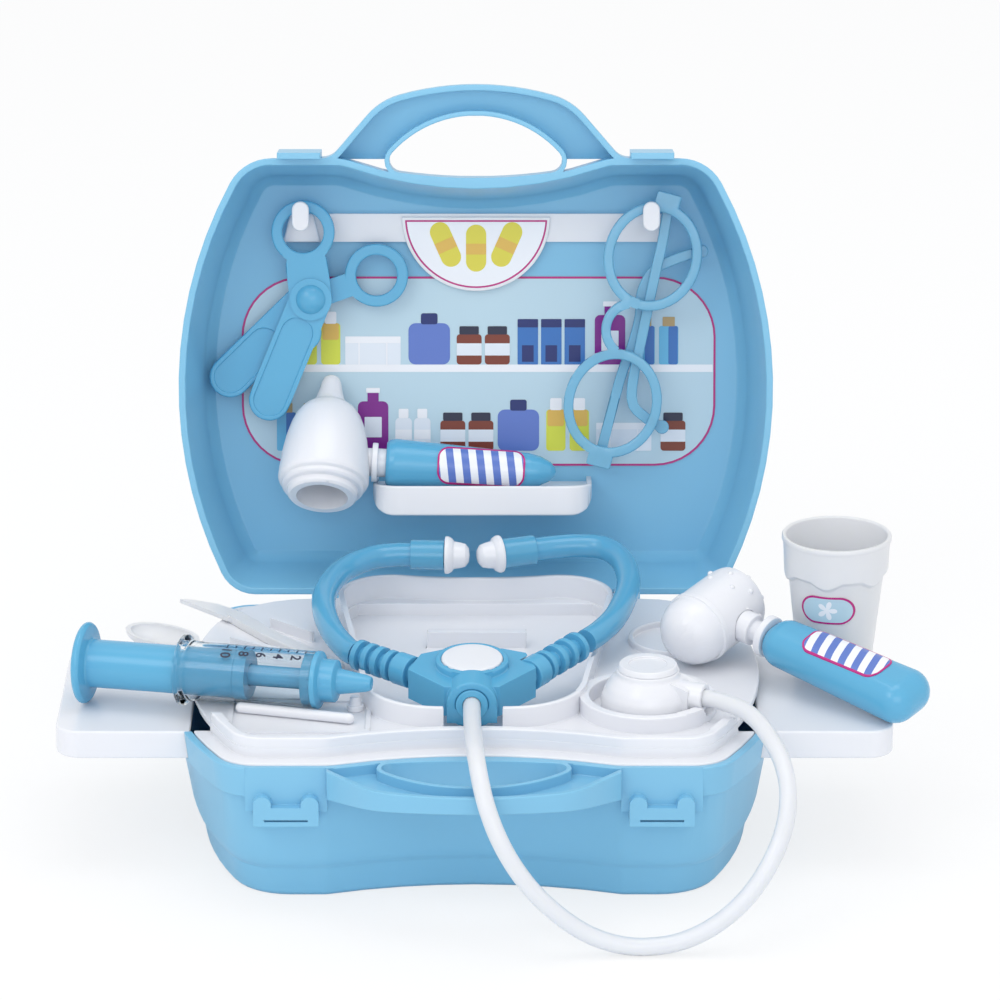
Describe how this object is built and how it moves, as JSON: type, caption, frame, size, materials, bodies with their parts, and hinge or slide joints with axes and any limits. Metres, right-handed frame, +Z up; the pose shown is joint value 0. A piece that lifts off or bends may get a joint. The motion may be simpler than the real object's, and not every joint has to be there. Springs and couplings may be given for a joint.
{
  "type": "toy doctor case",
  "caption": "Open sky-blue toy doctor case with side wings, pocket tray, hooks and shelf in the lid, and a set of play medical instruments laid out on it",
  "frame": {"origin": "centre of the flat underside of the base, on the surface it stands on", "axes": "X to the right seen from the front, Y from the front edge towards the hinge and lid, Z up"},
  "size_m": [0.3489, 0.3085, 0.2737],
  "materials": {
    "blue_plastic": "sky-blue moulded polystyrene, soft gloss",
    "white_plastic": "white moulded plastic, glossy",
    "light_blue_plastic": "light blue translucent moulded plastic, glossy",
    "clear_plastic": "clear moulded plastic",
    "milky_plastic": "milky translucent plastic",
    "printed_sticker": "printed sticker: magenta outline, blue and white stripes or a plain motif",
    "printed_card": null
  },
  "bodies": {
    "base": {"base_shell": "blue_plastic", "tray_panel": "white_plastic", "left_hinge_pin": "white_plastic", "right_hinge_pin": "white_plastic", "specimen_peg": "white_plastic"},
    "lid": {"lid_shell": "blue_plastic", "hook_rail": "white_plastic", "badge": "printed_sticker", "shelf_card": "printed_card", "lid_shelf": "white_plastic"},
    "left_wing": {"left_wing": "white_plastic"},
    "right_wing": {"right_wing": "white_plastic"},
    "scissors": {"scissors_front": "light_blue_plastic", "scissors_cap": "light_blue_plastic"},
    "scissors_arm": {"scissors_back": "light_blue_plastic"},
    "glasses": {"glasses_frame": "light_blue_plastic"},
    "upper_temple": {"upper_temple": "light_blue_plastic"},
    "lower_temple": {"lower_temple": "light_blue_plastic"},
    "otoscope": {"otoscope_head": "white_plastic", "otoscope_handle": "blue_plastic", "otoscope_sticker": "printed_sticker"},
    "stethoscope": {"steth_yoke": "light_blue_plastic", "steth_button": "white_plastic", "left_rib_arm": "light_blue_plastic", "right_rib_arm": "light_blue_plastic", "left_ear_tube": "light_blue_plastic", "right_ear_tube": "light_blue_plastic", "left_ear_collar": "light_blue_plastic", "right_ear_collar": "light_blue_plastic", "left_ear_tip": "white_plastic", "right_ear_tip": "white_plastic", "hose_gland": "light_blue_plastic", "hose": "milky_plastic", "chest_dome": "white_plastic", "chest_cap": "white_plastic", "chest_diaphragm": "white_plastic"},
    "hammer": {"hammer_head": "white_plastic", "hammer_neck": "white_plastic", "hammer_handle": "blue_plastic", "hammer_sticker": "printed_sticker"},
    "syringe": {"syringe_barrel": "clear_plastic", "syringe_tip": "blue_plastic"},
    "plunger": {"syringe_plunger": "blue_plastic", "plunger_seal": "blue_plastic"},
    "knife": {"knife": "white_plastic"},
    "spoon": {"spoon": "white_plastic"},
    "thermometer": {"thermometer": "white_plastic"},
    "cup": {"cup": "milky_plastic", "cup_sticker": "printed_sticker"}
  },
  "joints": [
    {"name": "lid_hinge", "type": "hinge", "parent": "base", "child": "lid", "pos_m": [0, 0.09365, 0.0605], "axis": [-1, 0, 0], "range_deg": [-48, 0]},
    {"name": "left_wing_slide", "type": "slide", "parent": "base", "child": "left_wing", "axis": [1, 0, 0], "range_m": [0, 0.048]},
    {"name": "right_wing_slide", "type": "slide", "parent": "base", "child": "right_wing", "axis": [-1, 0, 0], "range_m": [0, 0.007]},
    {"name": "cup_lift", "type": "slide", "parent": "right_wing", "child": "cup", "axis": [0, 0, 1], "range_m": [0, 0.06]},
    {"name": "scissors_lift", "type": "slide", "parent": "lid", "child": "scissors", "axis": [0, 0.2079, 0.9781], "range_m": [0, 0.01]},
    {"name": "scissors_pivot", "type": "hinge", "parent": "scissors", "child": "scissors_arm", "pos_m": [-0.07, 0.14821, 0.17772], "axis": [0, -0.9781, 0.2079], "range_deg": [0, 22]},
    {"name": "glasses_lift", "type": "slide", "parent": "lid", "child": "glasses", "axis": [0, 0.2079, 0.9781], "range_m": [0, 0.006]},
    {"name": "upper_temple_fold", "type": "hinge", "parent": "glasses", "child": "upper_temple", "pos_m": [0.0813, 0.15219, 0.22001], "axis": [0.9659, -0.0538, -0.2532], "range_deg": [0, 1.8]},
    {"name": "lower_temple_fold", "type": "hinge", "parent": "glasses", "child": "lower_temple", "pos_m": [0.0524, 0.13212, 0.11162], "axis": [-0.9659, 0.0538, 0.2532], "range_deg": [0, 3]},
    {"name": "otoscope_lift", "type": "slide", "parent": "lid", "child": "otoscope", "axis": [0, 0.2079, 0.9781], "range_m": [0, 0.013]},
    {"name": "stethoscope_lift", "type": "slide", "parent": "base", "child": "stethoscope", "axis": [0, -0.5, 0.866], "range_m": [0, 0.05]},
    {"name": "hammer_lift", "type": "slide", "parent": "base", "child": "hammer", "axis": [0, 0, 1], "range_m": [0, 0.03]},
    {"name": "syringe_lift", "type": "slide", "parent": "base", "child": "syringe", "axis": [0, 0, 1], "range_m": [0, 0.05]},
    {"name": "plunger_slide", "type": "slide", "parent": "syringe", "child": "plunger", "axis": [0.9708, -0.2393, 0.016], "range_m": [0, 0.022]},
    {"name": "knife_slide", "type": "slide", "parent": "base", "child": "knife", "axis": [-0.6291, 0.7773, 0], "range_m": [0, 0.03]},
    {"name": "spoon_lift", "type": "slide", "parent": "base", "child": "spoon", "axis": [0, 0, 1], "range_m": [0, 0.04]},
    {"name": "thermometer_slide", "type": "slide", "parent": "base", "child": "thermometer", "axis": [0, -0.866, 0.5], "range_m": [0, 0.03]}
  ],
  "couplings": [
    {"joint": "upper_temple_fold", "follows": "lower_temple_fold", "ratio": 0.6}
  ]
}
